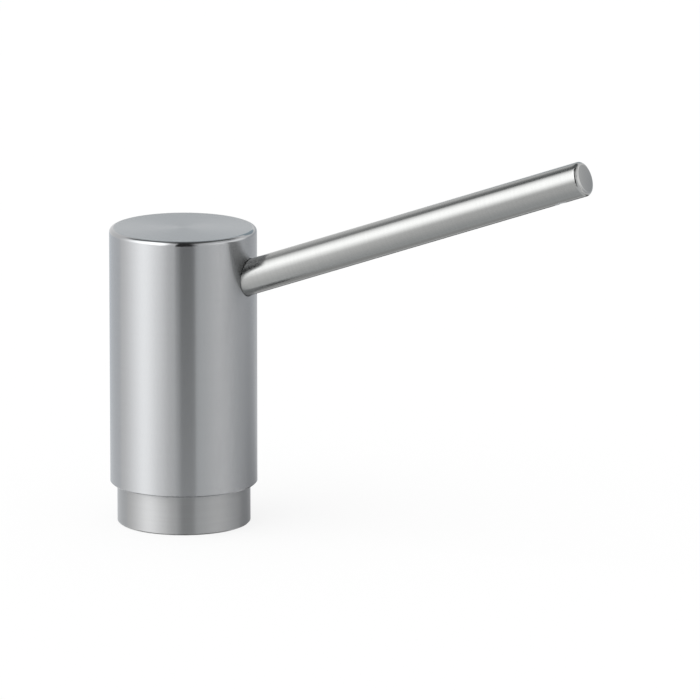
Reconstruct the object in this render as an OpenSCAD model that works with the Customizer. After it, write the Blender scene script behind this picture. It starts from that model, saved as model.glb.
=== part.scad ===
// Worktop soap dispenser: a push head with a rising rod spout on a round collar.
// Millimetres, +Z up. The origin is where the head's axis meets the worktop, and the spout points along +X.
// The head is drawn at rest, raised by its spring.

/* [Head] */
// Outside diameter of the head
head_d = 42; // [40:0.5:60]
// Height of the head shell
head_h = 74; // [70:0.5:110]
// Wall of the lower part, which slides over the collar
head_wall = 1.7; // [1.2:0.1:2.4]
// Wall of the upper part, which holds the core
upper_wall = 3; // [2.6:0.1:4]
// Thickness of the closed top
head_top = 3.5; // [2:0.1:5]
// Rounding of the top edge
edge_r = 1.3; // [0.4:0.1:2]
// Chamfer of the lower rim
rim_chamfer = 0.4; // [0.1:0.1:0.8]
// Travel of the head when it is pushed
stroke = 10; // [6:0.5:13]
// Room left under the rim when the head is pushed right down
press_room = 1.5; // [1:0.1:4]

/* [Spout] */
// Diameter of the rod
spout_d = 10; // [9.2:0.1:12]
// Level distance from the head's axis to the middle of the tip
spout_reach = 124.4; // [80:0.2:200]
// Rise of the rod above level, in degrees
spout_rise = 20; // [0:1:24]
// Depth below the top at which the rod's axis meets the head's axis
spout_drop = 20.3; // [17:0.1:24]
// Bore along the rod
spout_bore = 5; // [3:0.1:6]
// Solid end of the rod beyond its bore
tip_wall = 3; // [2:0.1:5]
// Rounding of the tip's edge
tip_r = 1.2; // [0.2:0.1:1.6]
// Diameter of the turned-down end that screws into the core
spigot_d = 8; // [7:0.1:8.6]
// Length of the turned-down end
spigot_len = 6; // [4:0.5:8]
// Depth of that end's shoulder inside the shell's bore
spout_depth = 6; // [4:0.5:7]
// Distance from the tip to the middle of the outlet
outlet_inset = 9; // [7:0.5:20]
// Diameter of the outlet hole on the underside
outlet_d = 5; // [3.5:0.1:6]
// Bore of the outlet nozzle
nozzle_bore = 2.6; // [1.5:0.1:3]

/* [Collar] */
// Wall of the collar's tube
collar_wall = 2; // [1.6:0.1:2.6]
// Thickness of the collar's threaded floor
collar_floor = 8; // [6:0.5:12]
// Chamfer of the collar's edges
collar_chamfer = 0.4; // [0.1:0.1:1]
// Height of each guide ring
guide_h = 2.5; // [1.5:0.1:3]
// Depth of the guide rings' grooves in the collar
guide_depth = 0.8; // [0.5:0.05:1.2]
// Distance of each guide ring from the end of its sliding length
guide_inset = 1.2; // [0.6:0.1:2]
// Slit in each guide ring, which lets it open over the collar
guide_slit = 1.2; // [0.6:0.1:3]
// Width of the gasket in the collar's underside
gasket_w = 1.8; // [1:0.1:2.2]
// Thickness of that gasket
gasket_t = 1.6; // [1:0.1:3]

/* [Pump] */
// Diameter of the pump chamber
chamber_d = 14; // [13:0.1:15]
// Wall of the pump barrel
barrel_wall = 3; // [2:0.1:3.4]
// Thickness of the barrel's flange
flange_t = 2.5; // [1.5:0.1:4]
// Thickness of the gasket under the flange
pump_gasket_t = 1; // [0.5:0.1:2]
// Height of the threaded neck above the flange
neck_h = 6.5; // [5:0.5:9]
// Thickness of the barrel's pierced floor
floor_t = 2; // [1.5:0.1:3]
// Holes through that floor
floor_holes = 6; // [4:1:8]
// Diameter of those holes
floor_hole_d = 1.8; // [1:0.1:2]
// Wall of the screw cap
cap_wall = 2.8; // [2:0.1:3.4]
// Thickness of the screw cap's top
cap_top_t = 3; // [2.4:0.1:5]
// Flutes round the screw cap
cap_flutes = 18; // [8:1:24]
// Diameter of the flutes
cap_flute_d = 1.6; // [1:0.1:2]
// Depth of the flutes
cap_flute_depth = 0.4; // [0.2:0.05:0.5]
// Length of the guide tube inside the barrel
hub_len = 10; // [6:0.5:14]
// Outside diameter of the stem
stem_d = 7; // [6:0.1:8]
// Bore of the stem
stem_bore = 3.2; // [2.4:0.1:3.4]
// Step from the stem to its tail in the piston
tail_step = 1; // [0.6:0.1:1.2]
// Length of the tail
tail_len = 5; // [3:0.5:6]
// Thickness of the stem's spring flange
stem_flange_t = 2; // [1.2:0.1:4]
// Length of the piston
piston_len = 8; // [7:0.5:12]
// Thickness of the piston's seal
piston_seal_t = 2; // [1.5:0.1:2.4]
// Thickness of the seal between stem and core
stem_seal_t = 1.8; // [1:0.1:2]
// Distance of that seal from the stem's top
stem_seal_inset = 3; // [2:0.1:5]
// Width of the wiper ring round the stem
wiper_w = 1.6; // [1:0.1:1.7]
// Depth of the wiper's seat in the cap
wiper_t = 1.8; // [1:0.1:2]
// Bevel of the wiper's upper edge
wiper_bevel = 0.5; // [0.2:0.1:0.8]

/* [Spring] */
// Wire of the return spring
spring_wire = 1.2; // [0.8:0.1:1.5]
// Turns of the spring, with the closed one at each end
spring_turns = 7; // [5:1:9]
// Room between stem and spring
spring_room = 1.8; // [1.7:0.1:2.6]
// Free length left when the head is pushed right down
spring_spare = 0.9; // [0.5:0.1:4]
// Gap between the closed turn at each end and the next one
spring_end_gap = 0.5; // [0.45:0.05:0.8]

/* [Valves] */
// Diameter of the inlet ball
inlet_ball_d = 6; // [5:0.1:6.6]
// Diameter of the outlet ball
outlet_ball_d = 5; // [4.8:0.1:5.4]
// Lift of the inlet ball
inlet_lift = 1.5; // [0.8:0.1:3]
// Lift of the outlet ball
outlet_lift = 1.2; // [0.6:0.1:2]
// Room round each ball
ball_room = 0.9; // [0.6:0.1:1]
// Width of the passage past the raised outlet ball
bypass_w = 1.4; // [0.8:0.1:2]
// Width of the stem's rim round the outlet ball's seat
seat_lip = 0.6; // [0.3:0.1:0.8]
// Bore of the nipple for the dip tube
nipple_bore = 4; // [2:0.1:4.2]
// Outside diameter of the nipple
nipple_d = 6.4; // [5.4:0.1:9]
// Length of the nipple
nipple_len = 10; // [6:0.5:16]
// Chamfer of the nipple's end
nipple_chamfer = 0.4; // [0.1:0.1:0.6]
// Thickness of the flange above the nipple
valve_flange_t = 2; // [1.2:0.1:4]
// Material under the inlet ball's seat
valve_base_t = 2; // [1:0.1:4]

/* [Core] */
// Clear height between the outlet ball's stop and the soap channel
channel_land = 1; // [0.6:0.1:2]
// Depth of the pockets in the core's underside
pocket_depth = 9; // [4:0.5:11]
// Wall left inside and outside the pockets
pocket_wall = 3; // [2:0.1:4]
// Ribs between the pockets
pocket_ribs = 6; // [3:1:10]
// Thickness of the ribs
rib_t = 2; // [1:0.1:3]
// Thickness of the retaining ring under the core
ring_t = 1.5; // [1:0.1:2]
// Width of the retaining ring
ring_w = 3; // [2.4:0.1:4]
// Depth of its groove in the shell
ring_depth = 1; // [0.6:0.1:1.4]
// Opening between the retaining ring's ends, in degrees
ring_opening = 36; // [24:1:60]
// Diameter of the eyes at its ends
ring_eye_d = 1.6; // [1:0.1:2]
// Wall round those eyes
ring_eye_wall = 0.8; // [0.5:0.1:1.2]
// Height of the shoulder under the retaining ring
shoulder_h = 4; // [2:0.5:8]

/* [Under the worktop] */
// Outside diameter of the threaded shank
shank_d = 28; // [26:0.1:30]
// Pitch of the shank's long thread
thread_pitch = 1.5; // [1:0.25:2]
// Length of the shank under the worktop
shank_below = 50; // [48:1:90]
// Height of the shank above the collar's floor
shank_proud = 2; // [0.5:0.1:4]
// Diameter of the thread for the bottle at the shank's lower end
bottle_thread_d = 25.4; // [24.6:0.1:26.8]
// Length of the thread for the bottle
bottle_thread_len = 14; // [8:0.5:16]
// Chamfer of the shank's ends
shank_chamfer = 0.8; // [0.3:0.1:1]
// Thickness of the worktop
worktop_t = 20; // [1:1:26]
// Diameter of the washer and of the pad
washer_d = 46; // [40:0.5:60]
// Thickness of the washer
washer_t = 2; // [1:0.1:4]
// Thickness of the soft pad above the washer
pad_t = 2; // [1:0.1:4]
// Width of the nut across its flats
nut_af = 38; // [35:0.5:50]
// Height of the nut
nut_h = 8; // [6:0.5:12]

/* [Clearances] */
// Between a seal or guide and what runs in it
run_gap = 0.05; // [0.02:0.01:0.08]
// Between pieces that are pressed or set together
fit_gap = 0.05; // [0.02:0.01:0.1]
// Between mating threads
thread_gap = 0.1; // [0.05:0.01:0.2]
// Between the head and the collar
slide_gap = 0.3; // [0.15:0.05:0.6]
// Between the rod and its hole
spout_gap = 0.15; // [0.08:0.01:0.3]
// Between moving pieces that pass each other
pass_gap = 0.3; // [0.2:0.05:0.5]
// Between a ball and its seat
ball_gap = 0.1; // [0.05:0.01:0.2]
// Between the barrel and the shank
barrel_gap = 1; // [0.4:0.1:1.4]
// Between the washers and the shank
washer_gap = 0.3; // [0.2:0.1:1]
// Left at the end of a travel
end_gap = 0.7; // [0.4:0.1:2]

/* [Hidden] */
$fn = 96;

steel = "silver";
dark_steel = "dimgray";
brass = "darkkhaki";
white_plastic = "whitesmoke";
grey_plastic = "gainsboro";
rubber = "black";

// How far a cutting shape runs past what it cuts
cut = 1;

// Radii of the sliding pair, from the outside inwards
head_r = head_d / 2;
lower_bore_r = head_r - head_wall;
upper_bore_r = head_r - upper_wall;
collar_r = lower_bore_r - slide_gap;
collar_in_r = collar_r - collar_wall;
core_r = upper_bore_r - fit_gap;

// Radii of the pump
chamber_r = chamber_d / 2;
barrel_r = chamber_r + barrel_wall;
shank_r = shank_d / 2;
shank_bore_r = barrel_r + barrel_gap;
stem_r = stem_d / 2;
stem_bore_r = stem_bore / 2;
tail_r = stem_r - tail_step;
spring_r = stem_r + spring_room + spring_wire / 2;
stem_flange_r = spring_r + spring_wire;

// The shank's long thread: widths along the axis, and the root that flanks at 60 degrees to the axis lead to
crest_flat = thread_pitch / 8;
root_flat = thread_pitch / 4;
flank_w = (thread_pitch - crest_flat - root_flat) / 2;
thread_root_r = shank_r - flank_w * tan(60);

// Heights of the foot and the pump, from the worktop up
shank_top = collar_floor + shank_proud;
flange_z = shank_top + pump_gasket_t;
flange_top = flange_z + flange_t;
neck_top = flange_top + neck_h;
cap_top = neck_top + cap_top_t;
spring_len = (spring_turns + 1) * spring_wire + spring_spare + stroke;
stem_flange_z = cap_top + spring_len;
core_bottom = stem_flange_z + stem_flange_t;

// Heights of the pump's working parts, from the cap's guide tube down
hub_bottom = neck_top - hub_len;
piston_top = hub_bottom - pass_gap;
piston_bottom = piston_top - piston_len;
floor_top = piston_bottom - stroke - end_gap;
floor_bottom = floor_top - floor_t;
piston_seal_z = piston_bottom + (piston_len - tail_len) / 2 + piston_seal_t / 2;
piston_seal_r = chamber_r - run_gap - piston_seal_t / 2;

// Heights of the head
rim_z = stroke + press_room;
top_z = rim_z + head_h;
core_top = top_z - head_top;
ring_z = core_bottom - ring_t;
step_z = ring_z - shoulder_h;
collar_top = step_z - stroke - end_gap;

// The guide rings sit near the two ends of the length that stays inside the head
guide_places = [rim_z + guide_inset, collar_top - guide_inset - guide_h];

// The spout's axis
spout_z = top_z - spout_drop;
spout_r = spout_d / 2;
spout_len = spout_reach / cos(spout_rise);
spout_seat = upper_bore_r - spout_depth;
spigot_end = spout_seat - spigot_len;
spout_seal_t = (spout_d - spigot_d) / 2;
spout_hole_r = spout_r + spout_gap;

// A ball rests on a 45 degree cone: the height of its middle above the level at which the cone has radius r
function seat_height(ball_d, r) = sqrt(2) * (ball_d / 2 + ball_gap) - r;

// The outlet valve, from the soap channel down to the top of the stem
outlet_ball_r = outlet_ball_d / 2;
outlet_room_r = outlet_ball_r + ball_room;
seat_mouth_r = stem_r - seat_lip;
passage_r = stem_bore_r;
stop_z = spout_z - spout_bore / 2 / cos(spout_rise) - channel_land;
stop_height = sqrt(pow(outlet_ball_r, 2) - pow(passage_r, 2));
outlet_ball_z = stop_z - stop_height - ball_gap - outlet_lift;
stem_top = outlet_ball_z - seat_height(outlet_ball_d, seat_mouth_r);
stem_seal_z = stem_top - stem_seal_inset - stem_seal_t / 2;

// The inlet valve, from the barrel's floor down
inlet_ball_r = inlet_ball_d / 2;
inlet_room_r = inlet_ball_r + ball_room;
nipple_bore_r = nipple_bore / 2;
inlet_ball_z = floor_bottom - ball_gap - inlet_lift - inlet_ball_r;
inlet_seat_z = inlet_ball_z - seat_height(inlet_ball_d, nipple_bore_r);
barrel_bottom = inlet_seat_z;
valve_flange_z = barrel_bottom - valve_base_t - valve_flange_t;

// The clamping pieces under the worktop
pad_z = -worktop_t - pad_t;
washer_z = pad_z - washer_t;
nut_z = washer_z - nut_h;

// Turns what is drawn along +Z so that it lies along the spout
module along_spout() {
  translate([0, 0, spout_z])
    rotate([0, 90 - spout_rise, 0])
      children();
}

// A plain ring from z upwards
module ring(r_out, r_in, z, h) {
  translate([0, 0, z])
    difference() {
      cylinder(r = r_out, h = h);
      translate([0, 0, -cut])
        cylinder(r = r_in, h = h + 2 * cut);
    }
}

// A round bar on the axis, from z upwards, which also cuts the round holes
module bar(r, z, h) {
  translate([0, 0, z])
    cylinder(r = r, h = h);
}

// A round-section ring whose section has the given middle
module o_ring(middle_r, z, thick) {
  rotate_extrude()
    translate([middle_r, z])
      circle(d = thick);
}

// A profile whose outer upper corner is rounded
module rounded_profile(r, z_low, z_high, corner) {
  translate([0, z_low])
    square([r, z_high - z_low - corner]);
  translate([0, z_low])
    square([r - corner, z_high - z_low]);
  translate([r - corner, z_high - corner])
    circle(r = corner);
}

// The triangle that chamfers an outer lower corner at radius r
module chamfer_low(r, z, size) {
  polygon([[r - size, z], [r + cut, z - cut], [r + cut, z + size + cut], [r, z + size]]);
}

// Turned cup: wide bore below for the collar, narrower bore above for the core
module head_shell() {
  color(steel)
    difference() {
      rotate_extrude()
        difference() {
          rounded_profile(head_r, rim_z, top_z, edge_r);
          chamfer_low(head_r, rim_z, rim_chamfer);
          translate([0, rim_z - cut])
            square([lower_bore_r, step_z - rim_z + cut]);
          square([upper_bore_r, core_top]);
          translate([0, ring_z - fit_gap])
            square([upper_bore_r + ring_depth, ring_t + fit_gap]);
        }
      along_spout()
        bar(spout_hole_r, spout_seat, head_d);
    }
}

// Drilled round rod with a rounded closed tip and an outlet underneath
module spout() {
  color(steel)
    along_spout()
      difference() {
        rotate_extrude() {
          rounded_profile(spout_r, spout_seat, spout_len, tip_r);
          translate([0, spigot_end])
            square([spigot_d / 2, spigot_len]);
        }
        bar(spout_bore / 2, spigot_end - cut, spout_len - tip_wall - spigot_end + cut);
        outlet_cut(outlet_d);
      }
}

// A round cut across the rod, out through its underside
module outlet_cut(d) {
  translate([0, 0, spout_len - outlet_inset])
    rotate([0, 90, 0])
      cylinder(d = d, h = spout_d);
}

// Insert in the outlet, flush with the rod
module outlet_nozzle() {
  color(grey_plastic)
    along_spout()
      difference() {
        intersection() {
          outlet_cut(outlet_d - 2 * fit_gap);
          bar(spout_r, spout_len - outlet_inset - outlet_d, 2 * outlet_d);
        }
        outlet_cut(nozzle_bore);
        bar(spout_bore / 2, spout_len - outlet_inset - outlet_d, 2 * outlet_d);
      }
}

// Turned ring on the worktop, with a threaded floor and the tube that guides the head
module base_collar() {
  color(steel)
    rotate_extrude()
      difference() {
        translate([shank_r + thread_gap, 0])
          square([collar_r - shank_r - thread_gap, collar_top]);
        chamfer_low(collar_r, 0, collar_chamfer);
        translate([0, collar_top])
          mirror([0, 1])
            chamfer_low(collar_r, 0, collar_chamfer);
        translate([0, collar_floor])
          square([collar_in_r, collar_top]);
        gasket_profile(fit_gap);
        for (z = guide_places)
          translate([collar_r - guide_depth, z - fit_gap])
            square([guide_depth + cut, guide_h + 2 * fit_gap]);
      }
}

// Section of the ring in the middle of the collar's underside, or of its groove
module gasket_profile(room) {
  middle_r = (shank_r + thread_gap + collar_r) / 2;
  width = gasket_w + 2 * room;
  translate([middle_r - width / 2, 0])
    square([width, gasket_t]);
}

// Split slide ring in a groove of the collar
module guide_ring(z) {
  color(white_plastic)
    difference() {
      ring(lower_bore_r - run_gap, collar_r - guide_depth + fit_gap, z, guide_h);
      translate([-head_d, -guide_slit / 2, z - cut])
        cube([head_d, guide_slit, guide_h + 2 * cut]);
    }
}

module lower_guide_ring() {
  guide_ring(guide_places[0]);
}

module upper_guide_ring() {
  guide_ring(guide_places[1]);
}

module deck_gasket() {
  color(rubber)
    rotate_extrude()
      gasket_profile(0);
}

// Moulded block that takes the stem from below and the spout from the side
module head_core() {
  color(white_plastic)
    difference() {
      bar(core_r, core_bottom, core_top - core_bottom);
      bar(stem_r + run_gap, core_bottom - cut, stem_top - core_bottom + cut);
      stem_seal_groove();
      bar(outlet_room_r, stem_top, stop_z - stem_top);
      bar(passage_r, stop_z - cut, spout_z - stop_z + cut);
      translate([-outlet_ball_r, -bypass_w / 2, stop_z - cut])
        cube([outlet_ball_d, bypass_w, channel_land + 2 * cut]);
      along_spout() {
        bar(spout_bore / 2, 0, spigot_end + cut);
        bar(spigot_d / 2 + thread_gap, spigot_end - fit_gap, spigot_len + fit_gap);
        bar(spout_hole_r, spout_seat - spout_seal_t, head_d);
      }
      core_pockets();
    }
}

// Groove in the core for the seal round the stem
module stem_seal_groove() {
  groove_r = stem_r + run_gap + stem_seal_t + fit_gap;
  bar(groove_r, stem_seal_z - stem_seal_t / 2 - fit_gap, stem_seal_t + 2 * fit_gap);
}

// Lightening pockets under the core, parted by ribs
module core_pockets() {
  inner_r = stem_r + stem_seal_t + pocket_wall;
  outer_r = core_r - pocket_wall;
  difference() {
    ring(outer_r, inner_r, core_bottom - cut, pocket_depth + cut);
    for (i = [0 : pocket_ribs - 1])
      rotate(i * 360 / pocket_ribs)
        translate([0, -rib_t / 2, core_bottom - 2 * cut])
          cube([head_d, rib_t, pocket_depth + 3 * cut]);
  }
}

// Spring ring with an eye at each end, in the shell's groove under the core
module core_ring() {
  eye_r = ring_eye_d / 2 + ring_eye_wall;
  ring_in_r = upper_bore_r + ring_depth - fit_gap - ring_w;
  color(dark_steel)
    translate([0, 0, ring_z])
      difference() {
        union() {
          rotate([0, 0, ring_opening / 2])
            rotate_extrude(angle = 360 - ring_opening)
              translate([ring_in_r, 0])
                square([ring_w, ring_t]);
          for (side = [-1, 1])
            rotate(side * ring_opening / 2)
              translate([ring_in_r, 0, 0])
                cylinder(r = eye_r, h = ring_t);
        }
        for (side = [-1, 1])
          rotate(side * ring_opening / 2)
            translate([ring_in_r, 0, -cut])
              cylinder(d = ring_eye_d, h = ring_t + 2 * cut);
      }
}

// Seal between the rod's shoulder and the core
module spout_seal() {
  seal_t = spout_seal_t - 2 * fit_gap;
  color(rubber)
    along_spout()
      o_ring(spigot_d / 2 + fit_gap + seal_t / 2, spout_seat - spout_seal_t / 2, seal_t);
}

module stem_seal() {
  color(rubber)
    o_ring(stem_r + run_gap + stem_seal_t / 2, stem_seal_z, stem_seal_t);
}

module outlet_ball() {
  color(steel)
    translate([0, 0, outlet_ball_z])
      sphere(r = outlet_ball_r);
}

// Hollow stem: a tail in the piston, a flange for the spring and a seat for the outlet ball
module stem() {
  color(grey_plastic)
    rotate_extrude()
      polygon([
        [stem_bore_r, piston_top - tail_len],
        [tail_r, piston_top - tail_len],
        [tail_r, piston_top],
        [stem_r, piston_top],
        [stem_r, stem_flange_z],
        [stem_flange_r, stem_flange_z],
        [stem_flange_r, core_bottom],
        [stem_r, core_bottom],
        [stem_r, stem_top],
        [seat_mouth_r, stem_top],
        [stem_bore_r, stem_top - seat_mouth_r + stem_bore_r]
      ]);
}

module piston() {
  groove_r = piston_seal_r - piston_seal_t / 2 - fit_gap;
  color(white_plastic)
    difference() {
      bar(chamber_r - pass_gap, piston_bottom, piston_len);
      bar(stem_bore_r, piston_bottom - cut, piston_len + 2 * cut);
      bar(tail_r + fit_gap, piston_top - tail_len, tail_len + cut);
      ring(barrel_r, groove_r, piston_seal_z - piston_seal_t / 2 - fit_gap, piston_seal_t + 2 * fit_gap);
    }
}

module piston_seal() {
  color(rubber)
    o_ring(piston_seal_r, piston_seal_z, piston_seal_t);
}

// Barrel with a flange on the shank, a threaded neck, and a pierced floor that stops the inlet ball
module pump_cylinder() {
  hole_circle_r = inlet_room_r - floor_hole_d / 2;
  color(white_plastic)
    difference() {
      union() {
        bar(barrel_r, barrel_bottom, neck_top - barrel_bottom);
        bar(shank_r, flange_z, flange_t);
      }
      bar(chamber_r, floor_top, neck_top - floor_top + cut);
      bar(chamber_r, barrel_bottom - cut, floor_bottom - barrel_bottom + cut);
      for (i = [0 : floor_holes - 1])
        rotate(i * 360 / floor_holes)
          translate([hole_circle_r, 0, floor_bottom - cut])
            cylinder(d = floor_hole_d, h = floor_t + 2 * cut);
    }
}

// Fluted screw cap with a guide tube that reaches down to the piston
module pump_cap() {
  cap_r = barrel_r + thread_gap + cap_wall;
  cap_bottom = flange_top + pass_gap;
  wiper_seat_r = stem_r + run_gap + wiper_w + fit_gap;
  color(grey_plastic)
    difference() {
      rotate_extrude()
        polygon([
          [barrel_r + thread_gap, cap_bottom],
          [cap_r, cap_bottom],
          [cap_r, cap_top],
          [wiper_seat_r, cap_top],
          [wiper_seat_r, cap_top - wiper_t],
          [stem_r + pass_gap, cap_top - wiper_t],
          [stem_r + pass_gap, hub_bottom],
          [chamber_r - pass_gap, hub_bottom],
          [chamber_r - pass_gap, neck_top],
          [barrel_r + thread_gap, neck_top]
        ]);
      for (i = [0 : cap_flutes - 1])
        rotate(i * 360 / cap_flutes)
          translate([cap_r + cap_flute_d / 2 - cap_flute_depth, 0, cap_bottom - cut])
            cylinder(d = cap_flute_d, h = cap_top - cap_bottom + 2 * cut);
    }
}

// Ring with a bevelled lip round the stem
module stem_wiper() {
  lip_r = stem_r + run_gap;
  color(rubber)
    rotate_extrude()
      polygon([
        [lip_r, cap_top - wiper_t],
        [lip_r + wiper_w, cap_top - wiper_t],
        [lip_r + wiper_w, cap_top - wiper_bevel],
        [lip_r + wiper_w - wiper_bevel, cap_top],
        [lip_r, cap_top]
      ]);
}

// The spring is one tube swept along a helix whose first and last turns are closer
turn_rings = 8;
wire_sides = 6;
end_pitch = spring_wire + spring_end_gap;
spring_low = cap_top + spring_wire / 2 + fit_gap;
spring_high = stem_flange_z - spring_wire / 2 - fit_gap;
mid_pitch = (spring_high - spring_low - 2 * end_pitch) / (spring_turns - 2);
spring_steps = turn_rings * spring_turns;

function spring_height(turn) =
  turn < 1 ? spring_low + end_pitch * turn
  : turn > spring_turns - 1 ? spring_high - end_pitch * (spring_turns - turn)
  : spring_low + end_pitch + mid_pitch * (turn - 1);
function spring_middle(i) =
  let (turn = i / turn_rings)
  [spring_r * cos(360 * turn), spring_r * sin(360 * turn), spring_height(turn)];
function wire_point(i, k) =
  let (
    a = 360 * i / turn_rings,
    b = 360 * k / wire_sides,
    r = spring_r + spring_wire / 2 * cos(b)
  )
  [r * cos(a), r * sin(a), spring_height(i / turn_rings) + spring_wire / 2 * sin(b)];

spring_points = [for (i = [0 : spring_steps], k = [0 : wire_sides - 1]) wire_point(i, k)];
spring_sides = [
  for (i = [0 : spring_steps - 1], k = [0 : wire_sides - 1])
    let (
      a = i * wire_sides + k,
      b = i * wire_sides + (k + 1) % wire_sides
    )
    each [[a, b, a + wire_sides], [b, b + wire_sides, a + wire_sides]]
];
spring_last = spring_steps * wire_sides;
spring_ends = [
  for (k = [1 : wire_sides - 2])
    each [[0, k + 1, k], [spring_last, spring_last + k, spring_last + k + 1]]
];
spring_least_gap = min([
  for (i = [0 : spring_steps - turn_rings / 2])
    for (j = [i + turn_rings / 2 : spring_steps])
      norm(spring_middle(i) - spring_middle(j)) - spring_wire
]);
echo(spring_least_gap = spring_least_gap);

module return_spring() {
  color(steel)
    polyhedron(points = spring_points, faces = concat(spring_sides, spring_ends));
}

// Seat for the inlet ball, pushed into the barrel from below, with the nipple for the dip tube
module inlet_valve() {
  nipple_r = nipple_d / 2;
  nipple_end = valve_flange_z - nipple_len;
  color(grey_plastic)
    rotate_extrude()
      polygon([
        [nipple_bore_r, nipple_end],
        [nipple_r - nipple_chamfer, nipple_end],
        [nipple_r, nipple_end + nipple_chamfer],
        [nipple_r, valve_flange_z],
        [barrel_r, valve_flange_z],
        [barrel_r, barrel_bottom],
        [chamber_r - fit_gap, barrel_bottom],
        [chamber_r - fit_gap, floor_bottom],
        [inlet_room_r, floor_bottom],
        [inlet_room_r, inlet_seat_z + inlet_room_r - nipple_bore_r],
        [nipple_bore_r, inlet_seat_z]
      ]);
}

module inlet_ball() {
  color(steel)
    translate([0, 0, inlet_ball_z])
      sphere(r = inlet_ball_r);
}

module pump_gasket() {
  color(rubber)
    ring(shank_r, shank_bore_r, shank_top, pump_gasket_t);
}

// One turn of the long thread from z up, as a ring in the shank's profile
function thread_ring(z) = [
  [shank_r, z],
  [shank_r, z + crest_flat],
  [thread_root_r, z + crest_flat + flank_w],
  [thread_root_r, z + crest_flat + flank_w + root_flat]
];

// Threaded tube through the worktop: its long thread is a row of rings, the bottle's thread a plain crest
module shank() {
  c = shank_chamfer;
  bottle_thread_r = bottle_thread_d / 2;
  step = bottle_thread_len - shank_below;
  thread_z = step + c;
  turns = floor((shank_top - c - thread_z) / thread_pitch);
  color(steel)
    rotate_extrude()
      polygon(concat(
        [
          [shank_bore_r, -shank_below],
          [bottle_thread_r - c, -shank_below],
          [bottle_thread_r, c - shank_below],
          [bottle_thread_r, step],
          [shank_r - c, step]
        ],
        [for (k = [0 : turns - 1]) each thread_ring(thread_z + k * thread_pitch)],
        [
          [shank_r, thread_z + turns * thread_pitch],
          [shank_r, shank_top - c],
          [shank_r - c, shank_top],
          [shank_bore_r, shank_top]
        ]
      ));
}

module clamp_pad() {
  color(rubber)
    ring(washer_d / 2, shank_r + washer_gap, pad_z, pad_t);
}

module clamp_washer() {
  color(steel)
    ring(washer_d / 2, shank_r + washer_gap, washer_z, washer_t);
}

// Hexagon nut with both ends bevelled at 30 degrees
module lock_nut() {
  corner_r = nut_af / 2 / cos(30);
  bevel = (corner_r - nut_af / 2) * tan(30);
  color(brass)
    difference() {
      intersection() {
        translate([0, 0, nut_z])
          cylinder(r = corner_r, h = nut_h, $fn = 6);
        rotate_extrude()
          polygon([
            [0, nut_z],
            [nut_af / 2, nut_z],
            [corner_r, nut_z + bevel],
            [corner_r, nut_z + nut_h - bevel],
            [nut_af / 2, nut_z + nut_h],
            [0, nut_z + nut_h]
          ]);
      }
      bar(shank_r + thread_gap, nut_z - cut, nut_h + 2 * cut);
    }
}

head_shell();
spout();
base_collar();
head_core();
core_ring();
spout_seal();
outlet_nozzle();
stem_seal();
outlet_ball();
stem();
piston();
piston_seal();
pump_cylinder();
pump_cap();
stem_wiper();
return_spring();
inlet_valve();
inlet_ball();
pump_gasket();
lower_guide_ring();
upper_guide_ring();
deck_gasket();
shank();
clamp_pad();
clamp_washer();
lock_nut();
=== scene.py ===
import math
import bmesh
import bpy
from mathutils import Matrix, Vector


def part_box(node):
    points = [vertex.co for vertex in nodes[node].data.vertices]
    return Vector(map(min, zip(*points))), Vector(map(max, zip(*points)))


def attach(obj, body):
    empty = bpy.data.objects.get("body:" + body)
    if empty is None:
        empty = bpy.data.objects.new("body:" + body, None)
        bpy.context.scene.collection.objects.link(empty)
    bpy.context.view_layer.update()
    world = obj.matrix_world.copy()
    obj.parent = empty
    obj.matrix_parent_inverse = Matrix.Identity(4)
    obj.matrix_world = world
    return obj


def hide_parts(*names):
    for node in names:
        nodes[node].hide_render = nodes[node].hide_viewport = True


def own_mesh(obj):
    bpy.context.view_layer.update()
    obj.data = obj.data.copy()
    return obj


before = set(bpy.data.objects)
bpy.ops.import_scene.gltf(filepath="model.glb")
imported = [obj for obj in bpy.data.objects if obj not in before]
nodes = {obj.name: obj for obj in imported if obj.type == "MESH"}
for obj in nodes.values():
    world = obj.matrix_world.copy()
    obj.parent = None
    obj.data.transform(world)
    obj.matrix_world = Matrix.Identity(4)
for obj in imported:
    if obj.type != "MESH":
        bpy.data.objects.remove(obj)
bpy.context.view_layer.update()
mm = 0.001
weldGap = 2e-7  # points closer than this are one
print("frame loaded,", len(nodes), "nodes")


class Wire:  # an output socket that can stand in a sum
    def __init__(self, tree, socket=None):
        self.tree = tree
        self.socket = socket

    def node(self, kind, settings=None, sockets=None, out=0):  # adds any node: settings first, then sockets
        made = self.tree.nodes.new(kind)
        for name, value in (settings or {}).items():
            setattr(made, name, value)
        for name, value in (sockets or {}).items():
            if isinstance(value, Wire):
                self.tree.links.new(value.socket, made.inputs[name])
            else:
                made.inputs[name].default_value = value
        return Wire(self.tree, made.outputs[out] if len(made.outputs) else None)

    def math(self, operation, first, second=0.0):
        return self.node("ShaderNodeMath", {"operation": operation}, {0: first, 1: second})

    def __add__(self, other):
        return self.math("ADD", self, other)

    def __radd__(self, other):
        return self.math("ADD", other, self)

    def __sub__(self, other):
        return self.math("SUBTRACT", self, other)

    def __rsub__(self, other):
        return self.math("SUBTRACT", other, self)

    def __mul__(self, other):
        return self.math("MULTIPLY", self, other)

    def __rmul__(self, other):
        return self.math("MULTIPLY", other, self)

    def __truediv__(self, other):
        return self.math("DIVIDE", self, other)

    def __rtruediv__(self, other):
        return self.math("DIVIDE", other, self)


def axes(wire, vector):  # x, y and z of a vector
    parts = wire.node("ShaderNodeSeparateXYZ", None, {"Vector": vector}).socket.node
    return [Wire(wire.tree, socket) for socket in parts.outputs]


def vectorOf(wire, x, y, z):
    return wire.node("ShaderNodeCombineXYZ", None, {"X": x, "Y": y, "Z": z})


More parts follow.
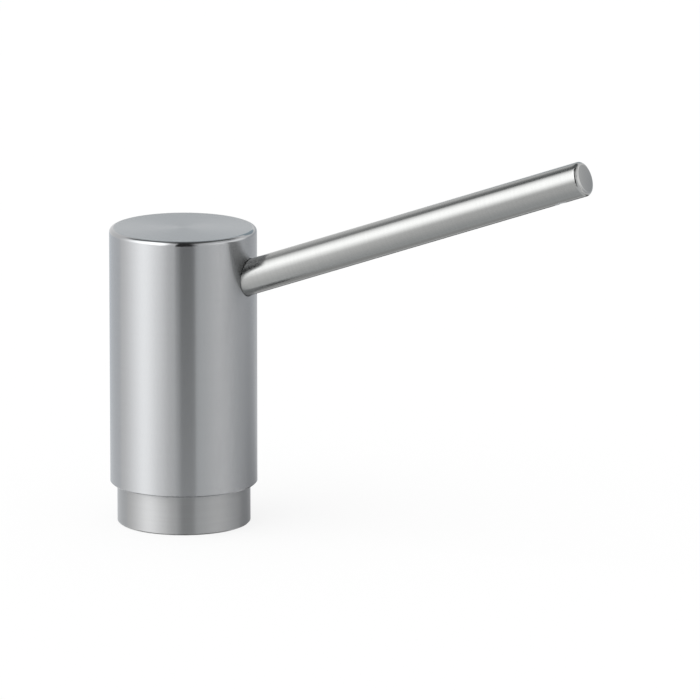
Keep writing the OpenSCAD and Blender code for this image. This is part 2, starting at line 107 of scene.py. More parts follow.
def fromAxis(wire, x, y):  # distance from the Z axis
    return wire.math("SQRT", x * x + y * y)


def onCircle(wire, radius, angle, height):
    return vectorOf(wire, radius * wire.math("COSINE", angle), radius * wire.math("SINE", angle), height)


def noise(wire, at, scale=1.0, detail=2.0):
    return wire.node("ShaderNodeTexNoise", None, {"Vector": at, "Scale": scale, "Detail": detail})


def swing(wire, amount):  # noise about its middle, as more or less
    return (wire - 0.5) * amount


def blendColours(wire, share, first, second):
    sockets = {"Factor": share, 6: first, 7: second}  # 6, 7 and output 2 are the colours
    return wire.node("ShaderNodeMix", {"data_type": "RGBA"}, sockets, 2)


def ease(wire, value, low, high):  # 0 at low, 1 at high, smooth between
    steps = {"interpolation_type": "SMOOTHSTEP"}
    return wire.node("ShaderNodeMapRange", steps, {"Value": value, "From Min": low, "From Max": high})


def newMaterial(name):
    material = bpy.data.materials.new(name)
    material.use_nodes = True
    material.node_tree.nodes.clear()
    return material, Wire(material.node_tree)


def finishMaterial(wire, surface):
    wire.node("ShaderNodeOutputMaterial", None, {"Surface": surface})


# camera, fitted to the head's edges, the rod's lines and the two rims
camera = dict(azimuth=24.872, elevation=12.702, distance=2821.3, aside=47.392, up=49.727, lens=509.93,
              sensor=36)  # degrees and mm
turn, tilt = math.radians(camera["azimuth"]), math.radians(camera["elevation"])
towards = Vector((math.sin(turn) * math.cos(tilt), -math.cos(turn) * math.cos(tilt), math.sin(tilt)))
rightward = Vector((math.cos(turn), math.sin(turn), 0))
aim = (rightward * camera["aside"] + Vector((0, 0, camera["up"]))) * mm
lensData = bpy.data.cameras.new("productCamera")
lensData.lens = camera["lens"]
lensData.sensor_width = camera["sensor"]
cameraObject = bpy.data.objects.new("productCamera", lensData)
cameraObject.location = aim + towards * camera["distance"] * mm
cameraObject.rotation_euler = (-towards).to_track_quat("-Z", "Y").to_euler()
bpy.context.scene.collection.objects.link(cameraObject)
bpy.context.scene.camera = cameraObject
bpy.context.scene.view_settings.view_transform = "Standard"
print("camera set")


# sizes that the frame gives
headLow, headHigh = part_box("head_shell")
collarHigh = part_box("base_collar")[1]
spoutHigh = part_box("spout")[1]
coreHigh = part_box("head_core")[1]
headR, rimZ, topZ = headHigh.x, headLow.z, headHigh.z
collarR, collarTop = collarHigh.x, collarHigh.z
rodR = spoutHigh.y


def arc(middle, radius, first, last, steps):  # points of a rounded corner, in degrees
    turns = [math.radians(first + (last - first) * k / steps) for k in range(steps + 1)]
    return [(middle[0] + radius * math.cos(a), middle[1] + radius * math.sin(a)) for a in turns]


def newTree(name, inputs):  # a node group with named inputs, and a wire from each of them
    tree = bpy.data.node_groups.new(name, "GeometryNodeTree")
    for label, kind in inputs.items():
        tree.interface.new_socket(label, in_out="INPUT", socket_type="NodeSocket" + kind)
    tree.interface.new_socket("Geometry", in_out="OUTPUT", socket_type="NodeSocketGeometry")
    w = Wire(tree)
    given = w.node("NodeGroupInput").socket.node.outputs
    return w, [Wire(tree, socket) for socket in given if socket.name]


def endTree(w, mesh, finish):  # plain geometry that carries its finish
    real = w.node("GeometryNodeRealizeInstances", None, {"Geometry": mesh})
    dressed = w.node("GeometryNodeSetMaterial", None, {"Geometry": real, "Material": finish})
    w.node("NodeGroupOutput", None, {"Geometry": dressed})
    return w.tree


def plainMesh(piece):  # what the modifiers make becomes the mesh, and they go
    graph = bpy.context.evaluated_depsgraph_get()
    made = bpy.data.meshes.new_from_object(piece.evaluated_get(graph), depsgraph=graph)
    piece.modifiers.clear()
    piece.data = made


def runTree(piece, tree, values):  # inputs go by identifier, before the piece is first evaluated
    run = piece.modifiers.new(tree.name, "NODES")
    run.node_group = tree
    identifiers = {s.name: s.identifier for s in tree.interface.items_tree if s.in_out == "INPUT"}
    for name, value in values.items():
        run[identifiers[name]] = value
    plainMesh(piece)


def latheTree():  # spins a row of profile points about Z
    inputs = {"Profile": "Geometry", "Segments": "Int", "Finish": "Material"}
    w, (profile, segments, finish) = newTree("turnedPiece", inputs)
    count = w.node("GeometryNodeAttributeDomainSize", {"component": "MESH"}, {"Geometry": profile})
    sheet = w.node("GeometryNodeMeshGrid", None, {"Vertices X": segments + 1, "Vertices Y": count})
    index = w.node("GeometryNodeInputIndex")
    row, column = w.math("MODULO", index, count), w.math("FLOOR", index / count)
    place = w.node("GeometryNodeInputPosition")
    spot = w.node("GeometryNodeSampleIndex", {"data_type": "FLOAT_VECTOR", "domain": "POINT"},
                  {"Geometry": profile, "Value": place, "Index": row})
    radius, height = axes(w, spot)[::2]
    spun = onCircle(w, radius, column / segments * math.tau, height)
    shaped = w.node("GeometryNodeSetPosition", None, {"Geometry": sheet, "Position": spun})
    closed = w.node("GeometryNodeMergeByDistance", None, {"Geometry": shaped, "Distance": weldGap})
    smooth = w.node("GeometryNodeSetShadeSmooth", None, {"Geometry": closed})
    return endTree(w, smooth, finish)


lathe = latheTree()


def facesOut(piece):  # merges doubles and points the faces outwards
    work = bmesh.new()
    work.from_mesh(piece.data)
    bmesh.ops.remove_doubles(work, verts=work.verts, dist=weldGap)
    bmesh.ops.recalc_face_normals(work, faces=work.faces)
    work.to_mesh(piece.data)
    work.free()


def meshFrom(work, name):  # a finished bmesh as a mesh
    mesh = bpy.data.meshes.new(name)
    work.to_mesh(mesh)
    work.free()
    return mesh


def newPiece(name, mesh):
    piece = bpy.data.objects.new(name, mesh)
    bpy.context.scene.collection.objects.link(piece)
    return piece


def turned(name, profile, finish, segments):  # profile in mm, a closed row of (radius, height)
    mesh = bpy.data.meshes.new(name)
    mesh.from_pydata([(r * mm, 0, z * mm) for r, z in profile + profile[:1]], [], [])
    piece = newPiece(name, mesh)
    runTree(piece, lathe, {"Segments": segments, "Finish": finish})
    facesOut(piece)
    return piece


def innerRadius(node):  # of a solid, in mm
    return min(v.co.xy.length for v in nodes[node].data.vertices) / mm


def cutAway(piece, cutter, operation="DIFFERENCE"):  # the cutter goes afterwards
    cut = piece.modifiers.new("cut", "BOOLEAN")
    cut.operation = operation
    cut.solver = "EXACT"
    cut.object = cutter
    plainMesh(piece)
    bpy.data.objects.remove(cutter)


def softEdges(piece, angle=30):  # smooth faces, sharp corners, flat faces lead the normals
    for face in piece.data.polygons:
        face.use_smooth = True
    piece.data.set_sharp_from_angle(angle=math.radians(angle))
    weigh = piece.modifiers.new("weigh", "WEIGHTED_NORMAL")
    weigh.mode = "FACE_AREA"
    weigh.weight = 100
    weigh.keep_sharp = True
    plainMesh(piece)


toneFrom = (0.3, 0.7)  # noise values where a finish is all shade and all light


def turnedSteel(name, look, place=None):  # fine turning marks round the piece's own axis
    material, w = newMaterial(name)
    coords = w.node("ShaderNodeTexCoord", None, None, "Object")
    if place:
        coords = w.node("ShaderNodeMapping", {"vector_type": "TEXTURE"},
                        {"Vector": coords, "Location": place["at"], "Rotation": place["turn"]})
    x, y, z = axes(w, coords)
    run = z + fromAxis(w, x, y)  # goes along the profile on wall, corner and face
    fineAt, broadAt = [vectorOf(w, x * look["drift"], y * look["drift"], run * look[size])
                       for size in ("fine", "broad")]
    fine, broad, cloud = noise(w, fineAt), noise(w, broadAt, detail=3.0), noise(w, coords, look["cloud"])
    marks = fine * look["fineShare"] + broad * (1 - look["fineShare"])
    tone = blendColours(w, ease(w, broad, *toneFrom), look["shade"], look["light"])
    rough = look["rough"] + swing(broad, look["roughLines"]) + swing(cloud, look["roughCloud"])
    bump = w.node("ShaderNodeBump", None, {"Strength": 1.0, "Distance": look["depth"] * mm, "Height": marks})
    satin = w.node("ShaderNodeBsdfPrincipled", None, {
        "Base Color": tone, "Metallic": 1.0, "Roughness": rough, "Normal": bump,
        "Anisotropic": look["stretch"], "Anisotropic Rotation": look["grainTurn"]})
    # the rounded edge's colour is lifted towards white: a painted highlight, added to the edge's real lower
    # roughness
    paintedEdgeTone = blendColours(w, look["paintedEdgeHighlight"], tone, (1, 1, 1, 1))
    bright = w.node("ShaderNodeBsdfPrincipled", None, {
        "Base Color": paintedEdgeTone, "Metallic": 1.0,
        "Roughness": look["edgeRough"] + swing(cloud, look["edgeCloud"])})
    edgeFrom = look["edgeAt"]  # only the rounded edge lies beyond
    edge = ease(w, run, edgeFrom, edgeFrom + look["edgeFade"] * mm)
    faced = w.node("ShaderNodeBsdfPrincipled", None, {
        "Base Color": tone, "Metallic": 1.0, "Roughness": rough + (look["faceRough"] - look["rough"]),
        "Normal": bump, "Anisotropic": look["faceStretch"], "Anisotropic Rotation": look["grainTurn"]})
    fadeFrom, fadeTo = [look["faceAt"] - below * mm for below in look["faceFade"]]
    face = ease(w, z, fadeFrom, fadeTo)  # the flat end
    turnedPart = w.node("ShaderNodeMixShader", None, {"Fac": face, 1: satin, 2: faced})
    steel = w.node("ShaderNodeMixShader", None, {"Fac": edge, 1: turnedPart, 2: bright})
    finishMaterial(w, steel)
    return material


# head: a turned cup with a rounded top edge and a hole for the rod, in mm as all pieces are
head = dict(round=1.3, roundSteps=14, rimBevel=0.4, wall=1.7, upperWall=3.0, shoulder=4.0, ringGroove=1.0,
            gap=0.05, holeRows=8, rowGap=0.3, drillTo=60, drillSegments=128, segments=320)
headFinish = dict(shade=(0.384, 0.390, 0.398, 1), light=(0.390, 0.397, 0.405, 1), rough=0.26, roughLines=0.02,
                  roughCloud=0.03, stretch=1.0, fine=9000, broad=1600, fineShare=0.6, grainTurn=0.25, drift=45,
                  cloud=60, depth=0.0002, edgeAt=headR + topZ - head["round"] * mm, edgeRough=0.09,
                  edgeCloud=0.02, paintedEdgeHighlight=0.0, edgeFade=0.12, faceAt=topZ, faceFade=(0.04, 0.02),
                  faceRough=0.26, faceStretch=0.35)
satinSteel = turnedSteel("satinSteel", headFinish)

# rod: a straight drilled bar that rises from the head
rod = dict(rise=20.0, tipRound=1.2, roundSteps=10, holeGap=0.15, bore=2.5, tipWall=3.0, spigotR=4.0,
           spigotLen=6.0, seat=12.0, outletR=2.5, outletInset=9.0, outletRows=16, drillTo=9, drillSegments=64,
           segments=192)
rise, tipRound = math.radians(rod["rise"]), rod["tipRound"] * mm
tipR = rodR - tipRound
rodLen = (spoutHigh.x - tipRound - tipR * math.sin(rise)) / math.cos(rise) + tipRound
rodZ = spoutHigh.z - tipRound - tipR * math.cos(rise) - (rodLen - tipRound) * math.sin(rise)
rodPlace = Matrix.Translation((0, 0, rodZ)) @ Matrix.Rotation(math.pi / 2 - rise, 4, "Y")
print("rod axis meets the head's axis at", round(rodZ / mm, 2), "mm, length", round(rodLen / mm, 2), "mm")


def makeHead():
    outer, low, top, corner = headR / mm, rimZ / mm, topZ / mm, head["round"]
    ringLow, ringHigh = [end.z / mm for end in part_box("core_ring")]
    bore, wide = outer - head["upperWall"], outer - head["wall"]
    grooveR, grooveLow = bore + head["ringGroove"], ringLow - head["gap"]
    step, ceiling = ringLow - head["shoulder"], coreHigh.z / mm
    holeZ, reach = rodZ / mm + outer * math.tan(rise), head["holeRows"]
    wallRows = [holeZ + k for k in range(-reach, reach + 1)]  # short faces round the hole
    outside = [(outer - head["rimBevel"], low), (outer, low + head["rimBevel"])]
    outside += [(outer, z) for z in wallRows if z < top - corner - head["rowGap"]]
    outside += arc((outer - corner, top - corner), corner, 0, 90, head["roundSteps"]) + [(0, top)]
    inside = [(0, ceiling), (bore, ceiling), (bore, ringHigh), (grooveR, ringHigh), (grooveR, grooveLow),
              (bore, grooveLow), (bore, step), (wide, step), (wide, low)]
    piece = turned("headShell", outside + inside, satinSteel, head["segments"])
    holeR, start, end = rodR / mm + rod["holeGap"], rod["seat"], head["drillTo"]
    hole = [(0, start), (holeR, start), (holeR, end), (0, end)]
    drill = turned("drill", hole, satinSteel, head["drillSegments"])
    drill.data.transform(rodPlace)
    cutAway(piece, drill)
    softEdges(piece)
    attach(piece, "head")
    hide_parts("head_shell")
    return piece


headShell = makeHead()
print("head turned,", len(headShell.data.polygons), "faces")

# the rod's tip edge gets a painted highlight: its colour is lifted 12% towards white
rodFinish = dict(headFinish, shade=(0.320, 0.323, 0.318, 1), light=(0.332, 0.335, 0.330, 1), rough=0.19,
                 stretch=0.0, roughLines=0.02, roughCloud=0.02, depth=0.00008, edgeRough=0.06, paintedEdgeHighlight=0.12,
                 edgeAt=rodR + rodLen - tipRound, faceAt=rodLen, faceRough=0.18, faceStretch=0.0)
rodSteel = turnedSteel("rodSteel", rodFinish, dict(at=(0, 0, rodZ), turn=(0, math.pi / 2 - rise, 0)))


def makeRod():
    outer, length, corner = rodR / mm, rodLen / mm, rod["tipRound"]
    bore, start, floor = rod["bore"], rod["seat"] - rod["spigotLen"], length - rod["tipWall"]
    rows = [(outer, length - k) for k in range(rod["outletRows"], 1, -1)]  # short faces round the outlet
    profile = [(rod["spigotR"], start), (rod["spigotR"], rod["seat"]), (outer, rod["seat"])] + rows
    profile += arc((outer - corner, length - corner), corner, 0, 90, rod["roundSteps"]) + [(0, length)]
    profile += [(0, floor), (bore, floor), (bore, start)]
    piece = turned("spoutRod", profile, rodSteel, rod["segments"])
    holeR, end = rod["outletR"], rod["drillTo"]
    drill = turned("drill", [(0, 0), (holeR, 0), (holeR, end), (0, end)], rodSteel, rod["drillSegments"])
    underside = Matrix.Rotation(math.pi / 2, 4, "Y")
    drill.data.transform(Matrix.Translation((0, 0, (length - rod["outletInset"]) * mm)) @ underside)
    cutAway(piece, drill)
    piece.data.transform(rodPlace)
    softEdges(piece)
    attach(piece, "head")
    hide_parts("spout")
    return piece


spoutRod = makeRod()
print("rod turned,", len(spoutRod.data.polygons), "faces")

# collar: the ring on the worktop with the tube that the head slides on
collar = dict(bevel=0.4, wall=2.0, floor=8.0, inner=14.1, grooveDeep=0.8, gap=0.05, gasketDeep=1.6,
              segments=320)
collarFinish = dict(headFinish, shade=(0.357, 0.360, 0.363, 1), light=(0.368, 0.371, 0.375, 1), rough=0.3,
                    roughLines=0.03)
collarSteel = turnedSteel("collarSteel", collarFinish)


def makeCollar():
    outer, top, bevel, gap = collarR / mm, collarTop / mm, collar["bevel"], collar["gap"]
    inner, deep, tube = collar["inner"], outer - collar["grooveDeep"], outer - collar["wall"]
    sealIn, sealOut = innerRadius("deck_gasket") - gap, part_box("deck_gasket")[1].x / mm + gap
    profile = [(inner, 0), (sealIn, 0), (sealIn, collar["gasketDeep"]), (sealOut, collar["gasketDeep"]),
               (sealOut, 0), (outer - bevel, 0), (outer, bevel)]
    for ring in ("lower_guide_ring", "upper_guide_ring"):
        low, high = [end.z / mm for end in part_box(ring)]
        profile += [(outer, low - gap), (deep, low - gap), (deep, high + gap), (outer, high + gap)]
    profile += [(outer, top - bevel), (outer - bevel, top), (tube, top), (tube, collar["floor"]),
                (inner, collar["floor"])]
    piece = turned("baseCollar", profile, collarSteel, collar["segments"])
    softEdges(piece)
    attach(piece, "base")
    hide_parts("base_collar")
    return piece


baseCollar = makeCollar()
print("collar turned,", len(baseCollar.data.polygons), "faces")

# below the worktop: threaded shank, nut, washer and pad
shank = dict(bevel=0.8, bore=11.0, pitch=1.5, depth=0.81, bottlePitch=3.0, bottleDepth=0.9, rowsPerTurn=12,
             flank=(0.9, 0.1), crestSlack=0.01, neckEnd=5.0, neckSlack=0.2, segments=160, softFrom=40)
threadSizes = ("Crest", "Pitch", "Depth", "From", "To")
leastR = 1e-6  # keeps a division away from zero


def threadTree():  # presses a V-shaped helical groove into an outer wall
    inputs = dict({"Geometry": "Geometry"}, **{name: "Float" for name in threadSizes}, Finish="Material")
    w, (mesh, crest, pitch, depth, start, end, finish) = newTree("cutThread", inputs)
    x, y, z = axes(w, w.node("GeometryNodeInputPosition"))
    radius = fromAxis(w, x, y)
    phase = w.math("FRACT", z / pitch - w.math("ARCTAN2", y, x) / math.tau)
    groove = ease(w, w.math("ABSOLUTE", phase * 2 - 1), *shank["flank"])  # 1 at the root
    outer = w.math("GREATER_THAN", radius, crest - shank["crestSlack"] * mm)
    runIn = ease(w, z, start, start + pitch) * ease(w, z, end, end - pitch)
    scale = 1 - groove * outer * runIn * depth / w.math("MAXIMUM", radius, leastR)
    spot = vectorOf(w, x * scale, y * scale, z)
    cut = w.node("GeometryNodeSetPosition", None, {"Geometry": mesh, "Position": spot})
    return endTree(w, cut, finish)


thread = threadTree()

cloudShare = 0.7  # clouds against turning lines in a plain finish
lineDrift = 60  # how fast its lines change round a piece


def plainFinish(name, look):  # moulded plastic, rubber, wire and machined metal
    material, w = newMaterial(name)
    coords = w.node("ShaderNodeTexCoord", None, None, "Object")
    grain, cloud = noise(w, coords, look["grain"], detail=3.0), noise(w, coords, look["cloud"])
    x, y, z = axes(w, coords)
    lineAt = vectorOf(w, x * lineDrift, y * lineDrift, (z + fromAxis(w, x, y)) * look["lines"])
    lines = noise(w, lineAt)
    mixed = cloud * cloudShare + lines * (1 - cloudShare)
    tone = blendColours(w, ease(w, mixed, *toneFrom), look["shade"], look["light"])
    rough = look["rough"] + swing(grain, look["roughGrain"])
    relief = grain * (1 - look["turned"]) + lines * look["turned"]
    bump = w.node("ShaderNodeBump", None, {"Strength": 1.0, "Distance": look["depth"] * mm, "Height": relief})
    finishMaterial(w, w.node("ShaderNodeBsdfPrincipled", None, {
        "Base Color": tone, "Metallic": look["metal"], "Roughness": rough, "Normal": bump}))
    return material


finishes = dict(
    brightSteel=dict(shade=(0.44, 0.44, 0.44, 1), light=(0.52, 0.52, 0.52, 1), metal=1.0, rough=0.24,
                     roughGrain=0.08, grain=900, cloud=50, lines=5000, turned=0.9, depth=0.0006),
    springWire=dict(shade=(0.26, 0.26, 0.27, 1), light=(0.34, 0.34, 0.35, 1), metal=1.0, rough=0.30,
                    roughGrain=0.10, grain=2500, cloud=220, lines=3000, turned=0.2, depth=0.0010),
    brass=dict(shade=(0.44, 0.31, 0.12, 1), light=(0.55, 0.41, 0.18, 1), metal=1.0, rough=0.28,
               roughGrain=0.10, grain=900, cloud=70, lines=4200, turned=0.9, depth=0.0010),
    whitePlastic=dict(shade=(0.74, 0.74, 0.72, 1), light=(0.80, 0.80, 0.78, 1), metal=0.0, rough=0.42,
                      roughGrain=0.10, grain=2200, cloud=60, lines=1500, turned=0.1, depth=0.0020),
    greyPlastic=dict(shade=(0.30, 0.31, 0.32, 1), light=(0.36, 0.37, 0.38, 1), metal=0.0, rough=0.45,
                     roughGrain=0.10, grain=2200, cloud=60, lines=1500, turned=0.1, depth=0.0020),
    blackRubber=dict(shade=(0.020, 0.020, 0.021, 1), light=(0.034, 0.034, 0.035, 1), metal=0.0, rough=0.70,
                     roughGrain=0.15, grain=2600, cloud=90, lines=1500, turned=0.1, depth=0.0040),
)
made = {name: plainFinish(name, look) for name, look in finishes.items()}


def threadRows(radius, low, high, pitch):  # rows for a thread to press in
    steps = shank["rowsPerTurn"]
    return [(radius, low + k * pitch / steps) for k in range(1, int((high - low) / pitch * steps))]


def makeShank():
    low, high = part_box("shank")
    outer, bottom, top, bevel, bore = high.x / mm, low.z / mm, high.z / mm, shank["bevel"], shank["bore"]
    points = [v.co for v in nodes["shank"].data.vertices]
    neckR = max(p.xy.length for p in points if p.z < low.z + shank["neckEnd"] * mm) / mm
    neckTop = min(p.z for p in points if p.xy.length > (neckR + shank["neckSlack"]) * mm) / mm
    neckRows = threadRows(neckR, bottom + bevel, neckTop, shank["bottlePitch"])
    mainRows = threadRows(outer, neckTop + bevel, top - bevel, shank["pitch"])
    profile = [(bore, bottom), (neckR - bevel, bottom), (neckR, bottom + bevel)] + neckRows
    profile += [(neckR, neckTop), (outer - bevel, neckTop), (outer, neckTop + bevel)] + mainRows
    profile += [(outer, top - bevel), (outer - bevel, top), (bore, top)]
    piece = turned("threadedShank", profile, made["brightSteel"], shank["segments"])
    mainThread = (outer, shank["pitch"], shank["depth"], neckTop + bevel, top - bevel)
    bottleThread = (neckR, shank["bottlePitch"], shank["bottleDepth"], bottom + bevel, neckTop)
    for sizes in (mainThread, bottleThread):
        values = {name: size * mm for name, size in zip(threadSizes, sizes)}
        runTree(piece, thread, dict(values, Finish=made["brightSteel"]))
    softEdges(piece, shank["softFrom"])
    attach(piece, "base")
    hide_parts("shank")


washer = dict(edge=0.3, edgeSteps=5, segments=192)
pad = dict(washer, edge=0.5)


def makeRing(name, node, ring, finish):  # a flat ring with rounded edges
    low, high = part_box(node)
    edge = ring["edge"]
    right, left, down, up = high.x / mm - edge, innerRadius(node) + edge, low.z / mm + edge, high.z / mm - edge
    profile = []
    for k, middle in enumerate(((right, down), (right, up), (left, up), (left, down))):
        profile += arc(middle, edge, 90 * k - 90, 90 * k, ring["edgeSteps"])
    piece = turned(name, profile, made[finish], ring["segments"])
    softEdges(piece)
    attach(piece, "base")
    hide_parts(node)


nut = dict(cone=30.0, edge=0.25, edgeSteps=2, bevelFrom=25, softFrom=40, sides=6, blank=50, segments=192)


def makeNut():
    low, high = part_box("lock_nut")
    bore, bottom, top = innerRadius("lock_nut"), low.z / mm, high.z / mm
    across = min(high.x, high.y) / mm
    halfSide = math.pi / nut["sides"]
    cornerR = across / math.cos(halfSide)
    fall = (cornerR - across) * math.tan(math.radians(nut["cone"]))
    profile = [(bore, bottom), (across, bottom), (cornerR, bottom + fall), (cornerR, top - fall), (across, top),
               (bore, top)]
    piece = turned("lockNut", profile, made["brass"], nut["segments"])
    work = bmesh.new()
    bmesh.ops.create_cone(work, cap_ends=True, segments=nut["sides"], depth=nut["blank"] * mm,
                          radius1=cornerR * mm, radius2=cornerR * mm)
    flats = meshFrom(work, "flats")
    first = halfSide if high.x > high.y else 0  # the cone's first corner lies on Y
    flats.transform(Matrix.Translation((0, 0, (bottom + top) / 2 * mm)) @ Matrix.Rotation(first, 4, "Z"))
    cutAway(piece, newPiece("flats", flats), "INTERSECT")
    bevel = piece.modifiers.new("bevel", "BEVEL")
    bevel.width = nut["edge"] * mm
    bevel.segments = nut["edgeSteps"]
    bevel.limit_method = "ANGLE"
    bevel.angle_limit = math.radians(nut["bevelFrom"])
    plainMesh(piece)
    softEdges(piece, nut["softFrom"])
    piece.data.materials.clear()
    piece.data.materials.append(made["brass"])
    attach(piece, "base")
    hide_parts("lock_nut")


makeShank()
makeRing("clampWasher", "clamp_washer", washer, "brightSteel")
makeRing("clampPad", "clamp_pad", pad, "blackRubber")
makeNut()
print("shank, pad, washer and nut made")

# return spring: round wire with its end turns closed, held on the base
spring = dict(wire=1.2, turns=7, closed=1.0, perTurn=40, sides=12, softFrom=50, pressed=0.512)


def coilTree():  # sweeps a round wire along a helix with closed end turns
    sizes = ("Radius", "Wire", "Low", "High", "Turns", "Closed", "Per turn")
    w, given = newTree("coilSpring", dict({name: "Float" for name in sizes}, Finish="Material"))
    radius, wire, low, high, turns, closed, perTurn, finish = given
    total = turns + closed * 2
    line = w.node("GeometryNodeMeshLine", None, {"Count": total * perTurn + 1})
    at = w.node("GeometryNodeInputIndex") / perTurn  # turns from the lower end
    ends = w.math("MINIMUM", at, closed) + w.math("MAXIMUM", at - closed - turns, 0.0)
    middle = w.math("MINIMUM", w.math("MAXIMUM", at - closed, 0.0), turns)
    pitch = (high - low - wire - closed * wire * 2) / turns
    height = low + wire / 2 + ends * wire + middle * pitch
    spot = onCircle(w, radius, at * math.tau, height)
    bent = w.node("GeometryNodeSetPosition", None, {"Geometry": line, "Position": spot})
    path = w.node("GeometryNodeMeshToCurve", None, {"Mesh": bent})
    circle = {"Resolution": spring["sides"], "Radius": wire / 2}
    section = w.node("GeometryNodeCurvePrimitiveCircle", None, circle)
    sweep = {"Curve": path, "Profile Curve": section, "Fill Caps": True}
    swept = w.node("GeometryNodeCurveToMesh", None, sweep)
    smooth = w.node("GeometryNodeSetShadeSmooth", None, {"Geometry": swept})
    return endTree(w, smooth, finish)


def makeSpring():
    low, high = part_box("return_spring")
    piece = newPiece("returnSpring", bpy.data.meshes.new("returnSpring"))
    wire = spring["wire"] * mm
    runTree(piece, coilTree(), {
        "Radius": high.x - wire / 2, "Wire": wire, "Low": low.z, "High": high.z, "Finish": made["springWire"],
        "Turns": float(spring["turns"]), "Closed": spring["closed"], "Per turn": float(spring["perTurn"])})
    facesOut(piece)
    softEdges(piece, spring["softFrom"])
    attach(piece, "base")
    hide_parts("return_spring")
    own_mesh(piece)


makeSpring()
print("spring wound")

# the inner pieces keep their solids and get their finish
dress = dict(
    brightSteel=("inlet_ball", "outlet_ball"),
    springWire=("core_ring",),
    whitePlastic=("head_core", "piston", "pump_cylinder", "lower_guide_ring", "upper_guide_ring"),
    greyPlastic=("stem", "pump_cap", "inlet_valve", "outlet_nozzle"),
    blackRubber=("spout_seal", "stem_seal", "piston_seal", "stem_wiper", "pump_gasket", "deck_gasket"),
)
for finish, names in dress.items():
    for name in names:
        nodes[name].data.materials.clear()
        nodes[name].data.materials.append(made[finish])
print("inner pieces dressed")

# light: a white surround, one wide sun for the floor's shadow, and cards that only the steel sees
studio = dict(surround=0.85, sun=1.0, sunSpread=60, sunTilt=(28, -22), floorR=6.0, floorSegments=96,
              floorTone=0.92, floorGlow=0.8, cardReach=0.75, cardStep=0.01, cardMiddle=0.05, cardGrid=4,
              leastSoft=1e-3)  # metres and degrees


def seenRays(w):  # camera, glossy and transmission rays
    rays = w.node("ShaderNodeLightPath").socket.node.outputs
    names = ("Is Camera Ray", "Is Glossy Ray", "Is Transmission Ray")
    direct, glossy, through = [Wire(w.tree, rays[name]) for name in names]
    return w.math("MAXIMUM", direct, w.math("MAXIMUM", glossy, through))


def makeWorld():
    world = bpy.data.worlds.new("whiteSurround")
    world.use_nodes = True
    world.node_tree.nodes.clear()
    w = Wire(world.node_tree)
    level = studio["surround"] + seenRays(w) * (1 - studio["surround"])
    sky = w.node("ShaderNodeBackground", None, {"Color": (1, 1, 1, 1), "Strength": level})
    w.node("ShaderNodeOutputWorld", None, {"Surface": sky})
    bpy.context.scene.world = world


def makeFloor():
    material, w = newMaterial("paleWorktop")
    matt = w.node("ShaderNodeBsdfDiffuse", None, {"Color": (studio["floorTone"],) * 3 + (1,)})
    glow = w.node("ShaderNodeEmission", None, {"Color": (1, 1, 1, 1), "Strength": 1.0})
    top = w.node("ShaderNodeMixShader", None, {"Fac": seenRays(w) * studio["floorGlow"], 1: matt, 2: glow})
    under = w.node("ShaderNodeNewGeometry", None, None, "Backfacing")
    clear = w.node("ShaderNodeBsdfTransparent")
    finishMaterial(w, w.node("ShaderNodeMixShader", None, {"Fac": under, 1: top, 2: clear}))
    work = bmesh.new()
    bmesh.ops.create_circle(work, cap_ends=True, segments=studio["floorSegments"], radius=studio["floorR"])
    mesh = meshFrom(work, "worktop")
    mesh.materials.append(material)
    floor = newPiece("worktop", mesh)
    floor.visible_glossy = False  # the steel shows the white surround and the cards instead


def makeSun():
    lamp = bpy.data.lights.new("wideSun", "SUN")
    lamp.energy = studio["sun"]
    lamp.angle = math.radians(studio["sunSpread"])
    sun = bpy.data.objects.new("wideSun", lamp)
    sun.rotation_euler = [math.radians(angle) for angle in studio["sunTilt"]] + [0]
    sun.visible_glossy = False
    bpy.context.scene.collection.objects.link(sun)


def cardFinish(name, card):
    material, w = newMaterial(name)
    u, v = axes(w, w.node("ShaderNodeTexCoord", None, None, "UV"))[:2]
    tall, least = card["high"] - card["low"], studio["leastSoft"]
    left, right = [max(least, soft / card["wide"]) for soft in card["softSides"]]
    low, high = [max(least, soft / tall) for soft in card["softEnds"]]
    mask = ease(w, u, 0, left) * ease(w, 1 - u, 0, right) * ease(w, v, 0, low) * ease(w, 1 - v, 0, high)
    tint = card.get("tint", (1, 1, 1)) + (1,)
    light = w.node("ShaderNodeEmission", None, {"Color": tint, "Strength": card["level"]})
    clear = w.node("ShaderNodeBsdfTransparent")
    finishMaterial(w, w.node("ShaderNodeMixShader", None, {"Fac": mask, 1: clear, 2: light}))
    material.cycles.emission_sampling = "NONE"
    return material


def makeCard(name, card, order):  # a patch of a sphere round the object, placed from the camera's side
    reach = card.get("reach", studio["cardReach"]) + studio["cardStep"] * order
    middle, tall = Vector((0, 0, studio["cardMiddle"])), card["high"] - card["low"]
    across, up = [max(2, int(size / studio["cardGrid"])) for size in (card["wide"], tall)]
    work = bmesh.new()
    layer = work.loops.layers.uv.new("UVMap")
    rows = []
    for j in range(up + 1):
        el = math.radians(card["low"] + tall * j / up)
        row = []
        for i in range(across + 1):
            az = turn - math.pi / 2 + math.radians(card["turn"] + card["wide"] * (i / across - 0.5))
            spot = Vector((math.cos(az) * math.cos(el), math.sin(az) * math.cos(el), math.sin(el)))
            row.append(work.verts.new(spot * reach + middle))
        rows.append(row)
    for j in range(up):
        for i in range(across):
            face = work.faces.new((rows[j][i], rows[j][i + 1], rows[j + 1][i + 1], rows[j + 1][i]))
            for loop, (a, b) in zip(face.loops, ((i, j), (i + 1, j), (i + 1, j + 1), (i, j + 1))):
                loop[layer].uv = (a / across, b / up)
    mesh = meshFrom(work, name)
    mesh.materials.append(cardFinish(name, card))
    piece = newPiece(name, mesh)
    piece.visible_camera = piece.visible_diffuse = piece.visible_shadow = False
    piece.visible_transmission = False


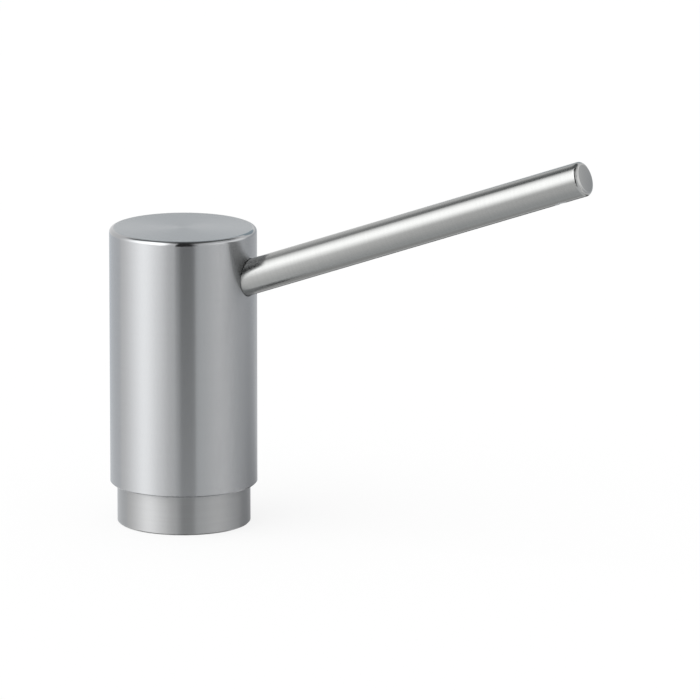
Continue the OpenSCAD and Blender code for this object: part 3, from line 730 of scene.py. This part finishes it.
# in degrees from the camera's side; the soft values fade a card out, and reach is its distance in metres
cards = dict(
    slotTop=dict(turn=8.5, wide=39.1, low=-5.6, high=90, level=0.05,
                 softSides=(1.1, 16.5), softEnds=(10.5, 0), reach=0.3),
    slotLow=dict(turn=6.2, wide=25.9, low=-18.2, high=-2.1, level=0.25,
                 softSides=(5.2, 0.5), softEnds=(1.9, 1.4), reach=0.3),
    ceilingBack=dict(turn=175.6, wide=157.3, low=37.1, high=90, level=0.186,
                     softSides=(20.2, 7.1), softEnds=(16.5, 0), tint=(0.97, 1.03, 1.05)),
    ceilingRight=dict(turn=57, wide=108.5, low=18.7, high=90, level=0.02,
                      softSides=(0.5, 13.1), softEnds=(66.9, 0)),
    ceilingLeft=dict(turn=-49, wide=95, low=57.8, high=90, level=0.05,
                     softSides=(22.5, 12.2), softEnds=(19.7, 0)),
    keyBox=dict(turn=-68.7, wide=99.2, low=-10.5, high=86.4, level=3.024,
                softSides=(52.5, 18.5), softEnds=(36.6, 1.1)),
    rightBox=dict(turn=67.7, wide=86.6, low=37.8, high=65, level=1.918,
                  softSides=(20.5, 38.1), softEnds=(6.6, 0.3)),
    backGlow=dict(turn=160.8, wide=55.3, low=15.8, high=34.8, level=0.496,
                  softSides=(13.2, 1.8), softEnds=(3.1, 0), tint=(0.86, 1.02, 1.12)),
    leftDip=dict(turn=-150.5, wide=75, low=-17, high=-4.5, level=0.802,
                 softSides=(26.6, 0.8), softEnds=(2.5, 1.4), tint=(0.935, 0.995, 1.065)),
    rightLow=dict(turn=120.5, wide=131.9, low=-43.2, high=-17.9, level=0.077,
                  softSides=(91.7, 11.5), softEnds=(9.5, 2.9), reach=0.3),
    keyGlow=dict(turn=-75.9, wide=87.6, low=-80.8, high=16.4, level=2.355,
                 softSides=(87.6, 38.9), softEnds=(13.6, 0), reach=0.3),
    slotHalo=dict(turn=20.8, wide=91.6, low=-55.7, high=26.5, level=0.853,
                  softSides=(26.2, 49.4), softEnds=(0.1, 1), tint=(0.985, 1.005, 1.015)),
    rightGrey=dict(turn=118.5, wide=117.9, low=-33.7, high=17.6, level=0.616,
                   softSides=(39.7, 0.5), softEnds=(34.4, 13), tint=(0.965, 0.995, 1.04)),
    below=dict(turn=0, wide=360, low=-90, high=-18.5, level=0.734,
               softSides=(0, 0), softEnds=(1.2, 61), tint=(0.99, 1.015, 1.03)),
    tipGlow=dict(turn=77.3, wide=88.7, low=-8.6, high=34.1, level=1.39,
                 softSides=(24.1, 13.7), softEnds=(28.4, 2.2), reach=0.6),
    underBack=dict(turn=181.6, wide=149.4, low=-90, high=-49.7, level=0.59,
                   softSides=(33.9, 23.6), softEnds=(4.2, 5.5), reach=0.3),
)

makeWorld()
makeFloor()
makeSun()
for order, (name, card) in enumerate(cards.items()):
    makeCard(name, card, order)
print("light set,", len(cards), "cards")
